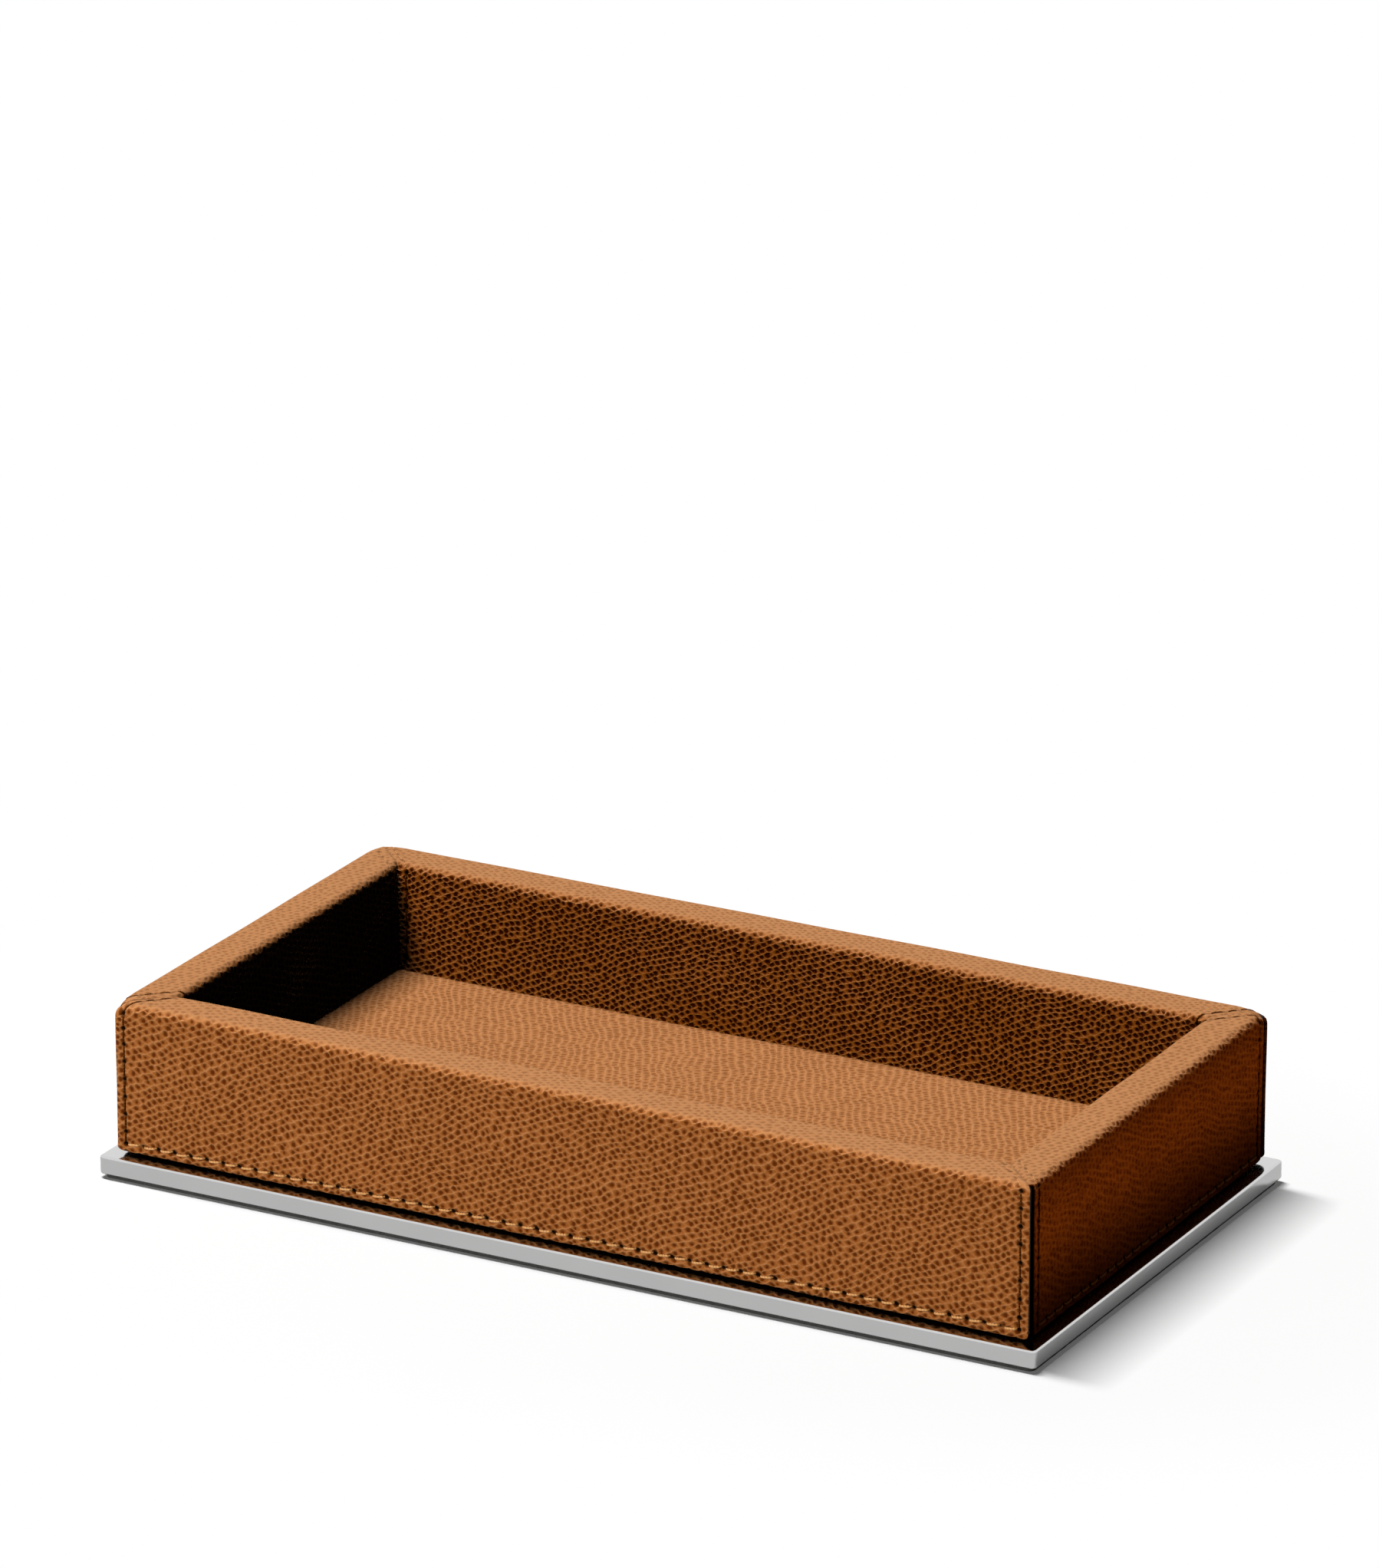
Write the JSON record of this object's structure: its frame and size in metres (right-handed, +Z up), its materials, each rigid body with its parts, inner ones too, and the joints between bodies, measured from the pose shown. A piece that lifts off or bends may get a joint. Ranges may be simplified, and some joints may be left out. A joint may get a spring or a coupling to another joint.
{
  "type": "valet tray",
  "caption": "Rectangular leather valet tray with a rounded, mitred and stitched rim round an open lined well, standing on a polished metal plate with a felt pad under it.",
  "frame": {"origin": "the middle of the underside of the pad that the tray stands on", "axes": "+X along the length to the right, +Y from the front wall to the back wall, +Z up"},
  "size_m": [0.308, 0.1634, 0.0549],
  "materials": {
    "base_felt": "dense dark grey felt",
    "plate_metal": "polished, with eased edges",
    "screw_steel": "zinc-plated countersunk wood screws",
    "carcass_wood": "sanded, unfinished under the leather",
    "spline_wood": "plywood, glued in",
    "tan_leather": "tan pebble-grain calf, stitched in matching thread, with dark edges",
    "lining_card": "stiff grey board"
  },
  "bodies": {
    "root": {"base_pad": "base_felt", "base_plate": "plate_metal", "base_screws": "screw_steel", "floor_board": "carcass_wood", "front_board": "carcass_wood", "right_board": "carcass_wood", "back_board": "carcass_wood", "left_board": "carcass_wood", "front_left_spline": "spline_wood", "front_right_spline": "spline_wood", "back_left_spline": "spline_wood", "back_right_spline": "spline_wood", "front_cover": "tan_leather", "right_cover": "tan_leather", "back_cover": "tan_leather", "left_cover": "tan_leather", "floor_card": "lining_card", "floor_lining": "tan_leather"}
  },
  "joints": []
}
